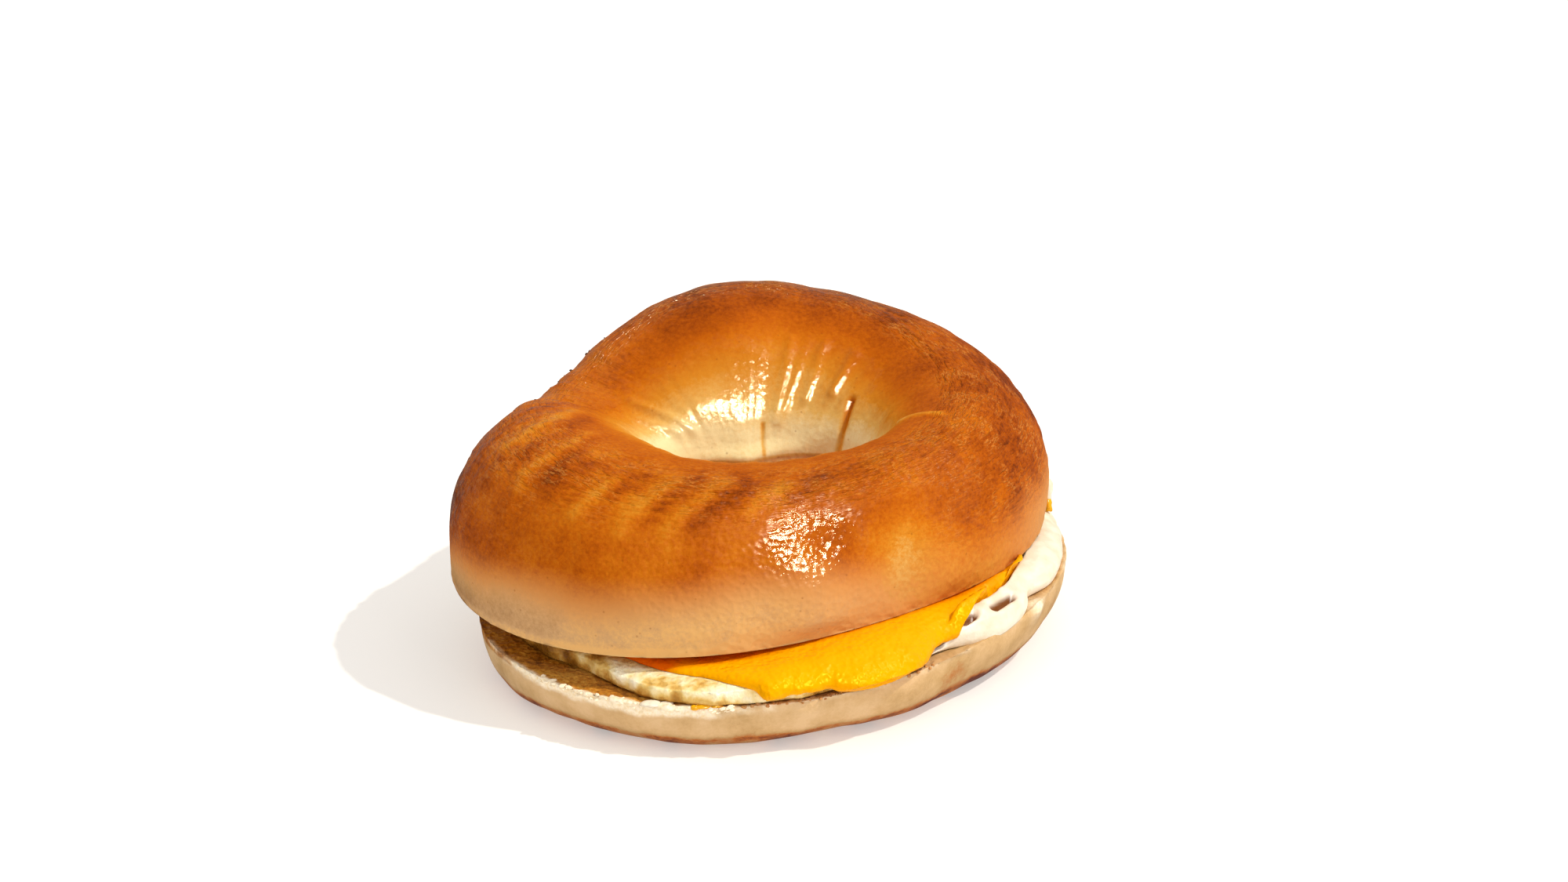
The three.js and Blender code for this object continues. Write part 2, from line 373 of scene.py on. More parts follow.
def perMetre(size):
    # a texture's scale for one swing in a size given in millimetres
    return 1 / (size * millimetre)


def startMaterial(name, roughness, ior, tint="ffffff"):
    # a material with what is the same all over it, its node tree and its shader
    material = bpy.data.materials.new(name)
    material.use_nodes = True
    tree = material.node_tree
    shader = tree.nodes["Principled BSDF"]
    shader.inputs["Roughness"].default_value = roughness
    shader.inputs["IOR"].default_value = ior
    shader.inputs["Specular Tint"].default_value = colour(tint)
    return material, tree, shader


def node(tree, kind, links=(), output=0, stops=(), **settings):
    # adds one node and returns one of its outputs. Settings are its properties, links give its
    # inputs, by name or in order, another node's output or a value, and stops are the places and
    # colours of a colour ramp. A Mix node's colours are its inputs 6 and 7, and its output 2.
    made = tree.nodes.new("ShaderNode" + kind)
    for key, value in settings.items():
        setattr(made, key, value)
    for place, _ in stops[1:-1]:
        made.color_ramp.elements.new(place)
    for number, (place, text) in enumerate(stops):
        element = made.color_ramp.elements[number]
        element.position, element.color = place, colour(text)
    for key, value in (links.items() if isinstance(links, dict) else enumerate(links)):
        if isinstance(value, bpy.types.NodeSocket):
            tree.links.new(value, made.inputs[key])
        else:
            made.inputs[key].default_value = value
    return made.outputs[output]


def finishMaterial(tree, shader, paint, height, depth):
    # links the base colour, and the bump of a height times a depth in millimetres
    tree.links.new(paint, shader.inputs["Base Color"])
    bumps = node(tree, "Bump", {"Height": height, "Distance": depth * millimetre})
    tree.links.new(bumps, shader.inputs["Normal"])


studio = {
    "cameraAt": (4.28, -728.74, 331.89), "cameraTarget": (4.28, 13.01, 32.20), "lens": 100, "sensor": 36,
    # the lamps: bearing and height in degrees, strength, how wide each looks in degrees, and whether
    # it lights the scene or only makes glints
    "rightLamp": (-7, 54, 2.4, 1.4, True), "frontLamp": (-57, 36, 11.0, 7, False), "lampColour": "fffaf0",
    "tent": 0.92, "tentInGloss": 0.26, "tentColour": "fffefb",
    "floor": "cfccc8", "floorGlow": 0.62,              # the glow comes from under the board
    "floorRoughness": 0.5, "floorIor": 1.45, "floorHalf": 5,
}


def makeCamera():
    camera = bpy.data.objects.new("camera", bpy.data.cameras.new("camera"))
    place, target = Vector(studio["cameraAt"]), Vector(studio["cameraTarget"])
    camera.location = place * millimetre
    camera.rotation_euler = (target - place).to_track_quat("-Z", "Y").to_euler()
    camera.data.lens, camera.data.sensor_width = studio["lens"], studio["sensor"]
    bpy.context.scene.collection.objects.link(camera)
    bpy.context.scene.camera = camera
    print("camera ready")


def makeStudio():
    # a white tabletop in a white tent, with one lamp high at the right and one at the front
    mesh = bpy.data.meshes.new("tabletop")
    half = studio["floorHalf"]
    corners = [(-half, -half, 0), (half, -half, 0), (half, half, 0), (-half, half, 0)]
    mesh.from_pydata(corners, [], [(0, 1, 2, 3)])
    material, _, shader = startMaterial("whiteBacklitBoard", studio["floorRoughness"], studio["floorIor"])
    shader.inputs["Base Color"].default_value = colour(studio["floor"])
    shader.inputs["Emission Color"].default_value = colour(studio["floor"])
    shader.inputs["Emission Strength"].default_value = studio["floorGlow"]
    mesh.materials.append(material)
    floor = bpy.data.objects.new("tabletop", mesh)
    bpy.context.scene.collection.objects.link(floor)
    floor.visible_glossy = False        # the crust mirrors the tent here, not the board

    for name in ("rightLamp", "frontLamp"):
        bearing, height, strength, wide, lights = studio[name]
        lamp = bpy.data.objects.new(name, bpy.data.lights.new(name, "SUN"))
        lamp.data.energy = strength
        lamp.data.angle = np.radians(wide)
        lamp.data.color = colour(studio["lampColour"])[:3]
        flat = np.cos(np.radians(height))
        towards = Vector((*around((0, 0), flat, np.radians(bearing)), np.sin(np.radians(height))))
        lamp.rotation_euler = towards.to_track_quat("Z", "Y").to_euler()
        lamp.visible_diffuse = lights
        bpy.context.scene.collection.objects.link(lamp)

    world = bpy.data.worlds.new("tent")
    world.use_nodes = True
    tree = world.node_tree
    background = tree.nodes["Background"]
    background.inputs["Color"].default_value = colour(studio["tentColour"])
    seen = node(tree, "LightPath", output="Is Glossy Ray")
    strength = node(tree, "MapRange", {"Value": seen, "To Min": studio["tent"],
                                       "To Max": studio["tentInGloss"]})
    tree.links.new(strength, background.inputs["Strength"])
    bpy.context.scene.world = world
    bpy.context.scene.view_settings.view_transform = "Standard"
    print("studio ready")


crustLook = {
    "ior": 1.27, "tint": "ffe2c0", "dull": 0.5, "wet": 0.12, "dullShine": 0.10, "wetShine": 0.85,
    "damp": 0.6, "wetFrom": (0.72, 0.96),              # noise in the wetness, and where it turns wet
    "bakes": [(0.0, "e6d3a0"), (0.2, "d6a85a"), (0.42, "c67c1e"), (0.6, "bb640a"), (0.75, "ab5104"),
              (0.9, "903e03"), (1.0, "702d03")],
    "rim": [(0.12, "93683a"), (0.3, "aa8055"), (0.5, "c09668"), (0.7, "d8a768")],
    "crumb": [(0.3, "7c4a18"), (0.5, "b58040"), (0.7, "dcbb82")],
    # the noises: what they are read along, size in millimetres or of the drawn out way, layers, contrast
    "noises": {"flecks": ("where", 0.8, 4, 0.75), "patches": ("where", 6, 4, 0.6),
               "damp": ("where", 1.5, 2, 0.5), "flakes": ("strand", 1.25, 2, 0.6),
               "creases": ("cross", 1.2, 2, 0.5)},
    # how far the noises move the bake of the skin, that of the rim, and where the skin is crinkled
    "shares": {"flecks": 0.52, "patches": 0.30}, "rimShares": {"flecks": 0.5, "patches": 0.35},
    "crumpleShare": 0.42,
    # ridges where a noise passes its middle: their half width, how pale they are painted as sheen, where
    # they break off
    "lines": {"flakes": 0.05, "creases": 0.14}, "pale": "e29c4a",
    "sheenShares": {"flakes": 0.3, "creases": 0.05}, "broken": (0.56, 0.44),
    "speck": "7a3408", "speckSize": 2.6, "speckShare": 0.4, "speckEdge": (0.03, 0.11),
    "pebble": 1.05, "pebbleRound": 0.7,
    "depths": {"flecks": 0.06, "pebbles": 0.17, "crumples": 1.1, "flakes": 0.1, "creases": 0.1},
}


def crustMaterial():
    # Boiled and baked wheat dough: a thin glossy brown skin, blistered into pebbles and crinkled where
    # it dried, over a paler matte band at the rim that rose last, and toasted open crumb at the cut.
    look = crustLook
    material, tree, shader = startMaterial("bakedCrust", look["dull"], look["ior"], look["tint"])
    given = {key: node(tree, "Attribute", attribute_name=key, output="Fac")
             for key in ("bake", "grain", "rim", "crumb", "crinkled", "wrinkled", "wet")}
    ways = {key: node(tree, "Attribute", attribute_name=key, output="Vector") for key in ("strand", "cross")}
    ways["where"] = node(tree, "TexCoord", output="Object")
    noises = {}
    for key, (way, size, detail, contrast) in look["noises"].items():
        scale = perMetre(size) if way == "where" else 1 / size
        noises[key] = node(tree, "TexNoise", {"Vector": ways[way], "Scale": scale, "Detail": detail,
                                              "Roughness": contrast})
    off, lines = {}, {}
    for key, share in (("flakes", given["crinkled"]), ("creases", given["wrinkled"])):
        off[key] = node(tree, "Math", (noises[key], noiseMiddle), operation="SUBTRACT")
        away = node(tree, "Math", (off[key],), operation="ABSOLUTE")
        ridge = node(tree, "MapRange", {"Value": away, "From Max": look["lines"][key], "To Min": 1,
                                        "To Max": 0}, interpolation_type="SMOOTHSTEP")
        lines[key] = node(tree, "Math", (ridge, share), operation="MULTIPLY")
    low, high = look["broken"]
    broken = node(tree, "MapRange", {"Value": noises["patches"], "From Min": low, "From Max": high})
    lines["flakes"] = node(tree, "Math", (lines["flakes"], broken), operation="MULTIPLY")
    crumples = node(tree, "Math", (off["flakes"], given["crinkled"]), operation="MULTIPLY")

    uneven = {}
    for kind in ("shares", "rimShares"):
        uneven[kind] = -sum(look[kind].values()) * noiseMiddle
        for key, share in look[kind].items():
            uneven[kind] = node(tree, "Math", (noises[key], share, uneven[kind]),
                                operation="MULTIPLY_ADD")
    level = node(tree, "Math", (uneven["shares"], given["grain"], given["bake"]),
                 operation="MULTIPLY_ADD")
    level = node(tree, "Math", (crumples, look["crumpleShare"], level), operation="MULTIPLY_ADD")
    lower = node(tree, "Math", (uneven["rimShares"], given["bake"]), operation="ADD")
    skin, rim, toasted = [node(tree, "ValToRGB", {"Fac": value}, stops=look[key])
                          for value, key in ((level, "bakes"), (lower, "rim"), (lower, "crumb"))]
    # painted sheen: the crinkle and crease ridges are mixed towards the pale colour, as if they caught the
    # tent's light
    for key, line in lines.items():
        share = node(tree, "Math", (line, look["sheenShares"][key]), operation="MULTIPLY")
        skin = node(tree, "Mix", {"Factor": share, 6: skin, 7: colour(look["pale"])}, 2, data_type="RGBA")
    specks = node(tree, "TexVoronoi", {"Vector": ways["where"], "Scale": perMetre(look["speckSize"])})
    low, high = look["speckEdge"]
    dots = node(tree, "MapRange", {"Value": specks, "From Min": low, "From Max": high,
                                   "To Min": look["speckShare"], "To Max": 0})
    whole = skin
    for share, over in ((given["rim"], rim), (dots, colour(look["speck"])), (given["crumb"], toasted)):
        whole = node(tree, "Mix", {"Factor": share, 6: whole, 7: over}, 2, data_type="RGBA")

    damp = node(tree, "Math", (noises["damp"], look["damp"], given["wet"]), operation="MULTIPLY_ADD")
    low, high = look["wetFrom"]
    for socket, dull, wet in (("Roughness", look["dull"], look["wet"]),
                              ("Specular IOR Level", look["dullShine"], look["wetShine"])):
        value = node(tree, "MapRange", {"Value": damp, "From Min": low, "From Max": high,
                                        "To Min": dull, "To Max": wet})
        tree.links.new(value, shader.inputs[socket])
    pebbles = node(tree, "TexVoronoi", {"Vector": ways["where"], "Scale": perMetre(look["pebble"]),
                                        "Smoothness": look["pebbleRound"]}, feature="SMOOTH_F1")
    pebbles = node(tree, "Math", (pebbles, given["grain"]), operation="MULTIPLY")
    height = 0.0
    for key, part in {"flecks": noises["flecks"], "pebbles": pebbles, "crumples": crumples, **lines}.items():
        height = node(tree, "Math", (part, look["depths"][key], height), operation="MULTIPLY_ADD")
    finishMaterial(tree, shader, whole, height, 1)
    return material


def topPoints(bearing, along):
    # 0 to 1 is the hole's wall, a quarter of a superellipse from the throat up to the crest; 1 to 2 is
    # the crust, an ellipse about (crest, belly) from the crest down to the cut; 2 to 3 is the cut face
    # back in to the throat; 3 to 4 is the straight part of the throat
    half = topHalf
    crest, outer, height = crestAt(bearing), outerRadius(bearing), crestHeight(bearing)
    throat = half["throat"] + waves(half["throatWave"], bearing)
    power = 2 / (half["fullness"] + waves(half["fullnessWave"], bearing))
    _, edgeTurn, edgeRadius = cutEdge(bearing)
    wallTurn = np.clip(along, 0, 1) * np.pi / 2
    crustTurn = mix(np.pi / 2, edgeTurn, np.clip(along - 1, 0, 1))
    radius = np.select(
        [along < 1, along < 2, along < 3],
        [mix(crest, throat, np.cos(wallTurn) ** power), mix(crest, outer, np.cos(crustTurn)),
         mix(edgeRadius, throat, along - 2)], throat)
    x, y = around(half["at"], radius, bearing)
    wall = mix(half["throatHeight"], height, np.sin(wallTurn) ** power)
    crust = mix(half["belly"], height, np.sin(crustTurn))
    plane, under = cutPlane(x, y), underside(x, y)
    z = np.select([along < 1, along < 2, along < 3], [plane + wall, plane + crust, under],
                  mix(under, plane + half["throatHeight"], along - 3))
    return np.stack([x, y, z], -1)


topLook = {
    "around": 500, "steps": [(66, 1), (98, 1.25), (24, 1), (8, 1)],       # of wall, crust, cut face, throat
    # noises read on the unrolled dough (radius, length, size, seed), then in space (size, seed)
    "bands": (37, 10, 6.5, 11), "radial": (37, 6, 2.4, 31), "pleats": (22, 5, 3.4, 21),
    "noises": {"lumps": (17, 3), "small": (7.5, 4), "mottle": (9, 44), "rim": (14, 41), "tone": (10, 45),
               "flaky": (9, 52)},
    "strand": (15, 42), "cross": (40, 7),              # drawn out round the ring, and across it
    "twist": [(262, 0.55, 6), (348, -0.8, 6)],         # how the bands swing round, radians a part
    "scales": (4.5, 0.16, 51), "flaky": (-0.25, 0.2),
    # millimetres that each thing stands out, and how much browner it is; along the fold and tuck that brown
    # is partly painted shade in the crease, and the thread is paled as a painted highlight
    "heights": {"lumps": 0.42, "bands": 0.3, "pleats": 0.45, "wrinkles": 0.55, "crinkles": 0.16,
                "ridges": 0.5, "streaks": 0.2, "thread": 0.4, "fold": -0.9, "tuck": -0.4},
    "bakes": {"bands": 0.10, "wrinkles": 0.06, "waist": -0.08, "shades": 0.14, "streaks": -0.17,
              "pleats": 0.1, "fold": 0.42, "tuck": 0.3, "thread": -0.34, "mottle": 0.09},
    # bearings and widths of bells round the ring: the rolled bands, the waist and the lobe left of it,
    # the smooth and the browner part of the hole's wall, the back with a painted sheen, and where the rim is
    # browned
    "at": {"bands": (243, 55), "waist": (164, 28), "lobe": (192, 26), "smooth": (108, 38),
           "brown": (35, 35), "sheenBack": (95, 35), "rimless": (328, 36)},
    # ways across where each of these is, starts or ends
    "moves": (0.02, 0.16, 1.9, 2.0), "dried": (0.78, 1.0, 1.15, 1.5), "crumb": (1.99, 2.01, 2.97, 3.0),
    "onWall": (0.45, 0.3), "banded": (1.35, 0.4), "raggedAt": (2.0, 0.05), "sheenBackAcross": (1.28, 0.22),
    "driedEnd": (1.7, 1.9), "wrinkledEnd": (1.6, 1.9), "wetFrom": (0.2, 0.34), "grainFrom": (0.45, 0.9),
    "browning": [(0.34, 0.26, 0.55), (0.36, 0.48, 0.80)],      # up the wall: size, start, full
    # zones as (size, bearing, width, and the ways across where they start and are full)
    "driedZones": [(1, 65, 75, 0.85, 1.1), (1, 5, 35, 1.2, 1.5), (1, 178, 34, 1.15, 1.4)],
    # the zone browner low on the left flank, at 190, is partly painted shade on the side away from the lamps
    "bakeZones": [(0.12, 65, 75, 0.55, 0.85), (0.06, 0, 40, 1.0, 1.35), (0.16, 190, 32, 1.35, 1.7),
                  (-0.26, 325, 34, 1.68, 1.95)],
    "wetZones": [(-0.07, 0, 55), (0.62, 98, 38, 0.75, 1.0)],
    "earlyZones": [(0.05, 5, 35), (0.02, 150, 35), (0.10, 65, 75)],       # browned lower down the wall
    # the rim and tone zones at 190 and 193 give the left a narrower, darker rim band: partly painted shade
    # on the side away from the lamps
    "rimZones": [(0.1, 190, 22), (-0.06, 272, 16)], "toneZones": [(-0.32, 193, 24), (0.2, 268, 28)],
    # the bake at the wall's foot; the rim's line, how it wanders and blurs, and its tone; the torn edge,
    # millimetres; the painted sheen at the back; and the wetness all over, where it dried and at the waist
    "palest": 0.02, "rimAt": 1.8, "rimWander": 0.035, "rimSoft": (-0.17, 0.13), "rimTone": 0.46,
    "ragged": 0.35, "sheenBack": 0.4, "sheenBackTone": -0.5, "wetness": 0.26, "driedWet": 0.14, "waistWet": 0.34,
    # places as (bearing, way across, height, width): bulges and dents, then changes of bake and wetness
    "swells": [(305, 1.74, -0.9, 6), (316, 1.88, 0.6, 6), (215, 1.35, 0.5, 9), (240, 1.1, -0.4, 7),
               (285, 1.80, 1.9, 8), (282, 1.34, -0.7, 8), (286, 1.55, -0.4, 3.2), (100, 0.62, 1.8, 9),
               (98, 0.12, -1.2, 8), (60, 0.68, 0.4, 8), (137, 0.42, 1.5, 7)],
    # the browner places at 193 and 183, low on the left flank, are partly painted shade on the side away
    # from the lamps
    "baked": [(116, 0.78, 0.11, 11), (85, 0.95, 0.08, 12), (27, 1.1, -0.06, 9), (304, 1.32, 0.08, 5),
              (305, 1.75, -0.26, 7), (106, 1.0, 0.10, 9), (152, 0.28, -0.08, 8), (311, 1.70, -0.16, 6),
              (75, 0.62, -0.08, 9), (50, 0.62, -0.08, 8), (240, 1.25, -0.08, 12), (322, 1.72, -0.06, 9),
              (300, 1.2, -0.05, 8), (193, 1.52, 0.17, 9), (183, 1.75, 0.2, 9), (331, 1.58, 0.10, 5),
              (60, 1.15, 0.08, 12), (95, 1.2, -0.08, 13), (20, 1.3, 0.05, 12)],
    "wet": [(281.5, 1.59, 0.9, 7), (291, 1.59, 0.6, 5.5), (106, 0.37, 1.1, 9), (50, 0.48, 0.85, 6),
            (36, 0.52, 0.6, 5), (147, 0.42, 0.4, 8), (322, 1.5, 0.35, 9), (305, 1.74, -0.5, 6)],
}

# lines on the top half: half width, then lines through (bearing, way across). Creases pressed into
# the hole's wall and ridges that stand out of it, and pale streaks with browner ones between them
# where the dough was rolled
topLines = {
    # painted shade: the fold and tuck are browned along their lines, partly as shade in the crease; painted
    # highlight: the thread is paled along its line
    "fold": (0.65, [[(30, 0.41), (26.3, 0.255), (25, 0.03)]]), "tuck": (0.4, [[(77, 0.24), (73, 0.03)]]),
    "thread": (0.9, [[(343, 0.60), (342.5, 0.78), (342, 0.95)]]),
    "ridges": (1.0, [
        [(72, 0.62), (67, 0.25)], [(57, 0.64), (53, 0.36)], [(44, 0.66), (41, 0.42)],
        [(164, 0.66), (150, 0.30)], [(153, 0.62), (142, 0.28)]]),
    "streaks": (1.5, [
        [(190, 0.80), (202.8, 1.04), (204.5, 1.18), (203.8, 1.26)],
        [(213.8, 0.88), (218.5, 1.04), (217.5, 1.17), (215.5, 1.31), (217.5, 1.38)],
        [(237, 1.12), (235, 1.28), (232.5, 1.40)], [(252.5, 1.06), (247, 1.24), (244, 1.36), (243, 1.44)],
        [(264, 1.04), (258, 1.24), (252.5, 1.40)], [(281, 1.08), (273, 1.22), (270, 1.30)],
        [(225, 1.0), (225, 1.16)]]),
    "shades": (2.1, [
        [(256, 1.02), (251, 1.2), (248, 1.36)], [(270, 1.08), (263, 1.24), (258, 1.38)],
        [(242, 1.04), (239, 1.2), (237, 1.38)], [(226, 1.1), (224, 1.25)], [(218, 0.95), (226, 1.1)],
        [(290, 1.02), (281, 1.2)], [(212, 1.0), (211, 1.25)], [(196.5, 0.74), (206.5, 0.92)],
        [(172.8, 0.90), (186.2, 0.96)], [(206, 1.33), (207.2, 1.44)], [(220.5, 1.08), (222.5, 1.28)]]),
}


def makeTop(material):
    look = topLook
    bearing, along = grid(look["around"], bent(*look["steps"]))
    points = topPoints(bearing, along)
    turn = bearing + swellings(look["twist"], bearing) * (along - 1)
    strand, cross = [unrolled(bearing, along, *look[key]) for key in ("strand", "cross")]
    bands, radial, pleats = [layered(unrolled(way, along, radius, length), size, 2, seed)
                             for way, (radius, length, size, seed) in
                             ((turn, look["bands"]), (bearing, look["radial"]), (bearing, look["pleats"]))]
    at = {key: near(bearing, *place) for key, place in look["at"].items()}
    noises = {key: softNoise(points, size, seed) for key, (size, seed) in look["noises"].items()}
    lines = {key: sum(seam(points, topPoints, line, width) for line in drawn)
             for key, (width, drawn) in topLines.items()}
    bands, pleats = bands * at["bands"], pleats * bump(along, *look["onWall"])
    waist, lobe = at["waist"] * ramp(along, 0.55, 0.9), at["lobe"] * bump(along, 1.25, 0.4)
    wrinkled = np.clip(waist + 0.4 * lobe, 0, 1) * (1 - ramp(along, *look["wrinkledEnd"]))
    wrinkles = radial * wrinkled
    dried = np.clip(between(along, *look["dried"]) + zones(look["driedZones"], bearing, along), 0, 1)
    dried = dried * (1 - ramp(along, *look["driedEnd"])) * (1 - 0.5 * waist)

    shapes = {
        **lines, "lumps": noises["lumps"] + 0.5 * noises["small"], "wrinkles": wrinkles,
        "bands": bands * bump(along, *look["banded"]) * (1 - waist),
        "pleats": pleats * (1 - 0.95 * at["smooth"]),
        "crinkles": creases(strand, *look["scales"]) * ramp(noises["flaky"], *look["flaky"]) * dried,
    }
    height = sum(size * shapes[key] for key, size in look["heights"].items())
    height += swell(points, topPoints, look["swells"])
    ragged = look["ragged"] * layered(points, 2.2, 2, 61) * bump(along, *look["raggedAt"])
    normal = outward(points)
    moved = points + normal * (between(along, *look["moves"]) * height)[..., None]
    moved[..., :2] += normal[..., :2] * ragged[..., None]

    wall = along + zones(look["earlyZones"], bearing, along)
    level = look["palest"] + sum(size * ramp(wall, low, high) for size, low, high in look["browning"])
    onCrust = ramp(along, 0.6, 1.0)
    shades = {**lines, "bands": bands * onCrust, "wrinkles": wrinkles, "waist": waist,
              "pleats": pleats * at["brown"], "mottle": noises["mottle"] * onCrust}
    level += sum(size * shades[key] for key, size in look["bakes"].items())
    level += zones(look["bakeZones"], bearing, along) + swell(points, topPoints, look["baked"])
    band = look["rimAt"] + look["rimWander"] * noises["rim"] + zones(look["rimZones"], bearing, along)
    # painted sheen: near the top of the back, the rim's greyish colours are mixed in and the wetness is
    # taken out
    paintedSheen = look["sheenBack"] * at["sheenBack"] * bump(along, *look["sheenBackAcross"])
    low, high = look["rimSoft"]
    rim = ramp(along, band + low, band + high) * (1 - 0.9 * at["rimless"]) + paintedSheen
    tone = look["rimTone"] + 0.2 * ramp(along, 1.95, 1.985) + 0.1 * noises["tone"]
    tone += look["sheenBackTone"] * paintedSheen + zones(look["toneZones"], bearing, along)
    wet = look["wetness"] + look["driedWet"] * dried + look["waistWet"] * waist
    wet += zones(look["wetZones"], bearing, along) + swell(points, topPoints, look["wet"])
    wet = wet * (1 - rim) * ramp(along, *look["wetFrom"]) * (1 - ramp(along, *look["crumb"][:2]))
    fields = {
        "bake": mix(np.clip(level, 0, 1), tone, rim - paintedSheen), "rim": rim, "wet": np.clip(wet, 0, 1),
        "grain": mix(0.45, 1, ramp(along, *look["grainFrom"])), "crumb": between(along, *look["crumb"]),
        "crinkled": dried, "wrinkled": wrinkled, "strand": strand, "cross": cross,
    }
    makePiece("bagelTop", [moved], material, replaces="bagel_top", fields=fields)


breadLook = {
    "roughness": 0.5, "ior": 1.3,
    # the darkest stops colour the foot: partly browner baked crust, partly painted contact shade at the
    # floor
    "side": [(0.0, "6c2804"), (0.16, "b06422"), (0.34, "ba945f"), (0.5, "c9a371"), (0.66, "d4b082")],
    "crumb": [(0.3, "804808"), (0.5, "ae6c12"), (0.7, "d0983c")],
    "torn": [(0.3, "e9cfa2"), (0.6, "f5e5cb")],
    "patch": 9, "fleck": 0.6, "pore": 1.3, "poreDepth": 0.35, "skinDepth": 0.12,
    "fleckShare": 0.24, "crumbFlecks": 0.45,           # how far the flecks move the tone
}


def breadMaterial():
    # The lower slice: pale matte crust that never browned, save a dark band at its foot that is partly
    # browner baked underside and partly painted contact shade, a toasted and buttered cut face with
    # open pores, and a torn white edge of crumb where the knife came through.
    look = breadLook
    material, tree, shader = startMaterial("paleCrustAndCrumb", look["roughness"], look["ior"])
    where = node(tree, "TexCoord", output="Object")
    given = {key: node(tree, "Attribute", attribute_name=key, output="Fac")
             for key in ("bake", "torn", "crumb")}
    patches, flecks = [node(tree, "TexNoise", {"Vector": where, "Scale": perMetre(look[key]), "Detail": 3,
                                               "Roughness": 0.6})
                       for key in ("patch", "fleck")]
    pores = node(tree, "TexVoronoi", {"Vector": where, "Scale": perMetre(look["pore"])})
    # the flecks' middle counts as nothing, on the side and in the crumb
    share, grainShare = look["fleckShare"], look["crumbFlecks"]
    uneven = node(tree, "Math", (flecks, share, patches), operation="MULTIPLY_ADD")
    centred = node(tree, "Math", (uneven, share * noiseMiddle), operation="SUBTRACT")
    baked = node(tree, "Math", (centred, given["bake"]), operation="SUBTRACT")
    grainy = node(tree, "Math", (flecks, grainShare, -(share + grainShare) * noiseMiddle),
                  operation="MULTIPLY_ADD")
    grainy = node(tree, "Math", (grainy, uneven), operation="ADD")
    whole, toasted, torn = [node(tree, "ValToRGB", {"Fac": value}, stops=look[key])
                            for value, key in ((baked, "side"), (grainy, "crumb"), (flecks, "torn"))]
    for key, over in (("crumb", toasted), ("torn", torn)):
        whole = node(tree, "Mix", {"Factor": given[key], 6: whole, 7: over}, 2, data_type="RGBA")
    open = node(tree, "Math", (given["torn"], given["crumb"]), operation="MAXIMUM")
    pitted = node(tree, "Math", (pores, open), operation="MULTIPLY")
    height = 0.0
    for part, depth in ((flecks, look["skinDepth"]), (pitted, look["poreDepth"])):
        height = node(tree, "Math", (part, depth, height), operation="MULTIPLY_ADD")
    finishMaterial(tree, shader, whole, height, 1)
    return material


def bottomPoints(bearing, along):
    # 0 to 1 is the cut face out to the rim; 1 to 2 is the crust, an arc that tucks in down to the
    # floor; 2 to 3 is the flat underside back in; 3 to 4 is the hole, rounded at the floor
    half = bottomHalf
    rim = rimRadius(bearing)
    hole = half["hole"] + waves(half["holeOval"], bearing)
    top = faceHeight(rim, bearing)
    tuck = half["tuck"] + waves(half["tuckWave"], bearing)
    sideTurn = np.clip(along - 1, 0, 1) * np.pi / 2
    holeTurn = np.clip((along - 3) * 2, 0, 1) * np.pi / 2
    faceRadius = mix(hole, rim, along)
    rounding = half["holeRound"]
    innerTop = faceHeight(hole, bearing)
    radius = np.select(
        [along < 1, along < 2, along < 3],
        [faceRadius, mix(rim - tuck, rim, np.cos(sideTurn)), mix(rim - tuck, hole + rounding, along - 2)],
        hole + rounding * (1 - np.sin(holeTurn)))
    z = np.select(
        [along < 1, along < 2, along < 3],
        [faceHeight(faceRadius, bearing), top * (1 - np.sin(sideTurn)), np.zeros_like(rim)],
        mix(rounding * (1 - np.cos(holeTurn)), innerTop, np.clip((along - 3.5) * 2, 0, 1)))
    x, y = around(half["at"], radius, bearing)
    return np.stack([x, y, z], -1)


bottomLook = {
    "around": 620, "steps": [(56, 1.7), (64, 1), (14, 1), (12, 1)],       # of face, side, underside, hole
    "lumps": 0.4, "crumbs": 0.55, "faceGrain": 0.18,   # heights, millimetres
    # noises as (size, layers, seed): grit at the rim, the wandering torn edge, soft patches, the face
    "grit": (2.4, 3, 71), "wander": (6, 3, 73), "soft": (4.5, 2, 77), "grain": (1.8, 2, 75),
    # bearings and widths, degrees: torn by the knife, cut lower, and pale under the cream
    "tornAt": (238, 26), "sunkAt": (196, 22), "paleAt": (322, 42),
    # ways across: crust that is lumpy, crust that swells, loose bits, the cut face's edge, the foot
    "lumpy": (0.93, 1.1, 1.8, 2.0), "swollen": (0.98, 1.05, 1.8, 2.0), "bits": (0.98, 1.0, 1.0, 1.07),
    # the foot is made browner, partly as the baked underside and partly as painted contact shade at the
    # floor
    "atRim": (1.02, 0.07), "cutEdge": (0.975, 1.0), "foot": (1.37, 1.52), "footBrownAndShade": 0.34,
    "tornWide": 0.09, "tornWander": 0.05, "tornSoft": 0.08, "sunkWide": 0.13,
    # places as (bearing, way across, height, width): a torn pit, bulges and dents, and browner spots
    "pitted": [(342.5, 1.01, 1.2, 2.4)],
    "swells": [(339, 1.0, 0.8, 4), (315, 1.35, -0.5, 6), (300, 1.6, 0.5, 9), (250, 1.5, 0.5, 12)],
    "brown": [(315, 1.31, 0.11, 7), (321, 1.6, 0.08, 6), (350, 1.3, 0.1, 6), (283, 1.04, 0.10, 5),
              (335, 1.4, 0.10, 7)],
}


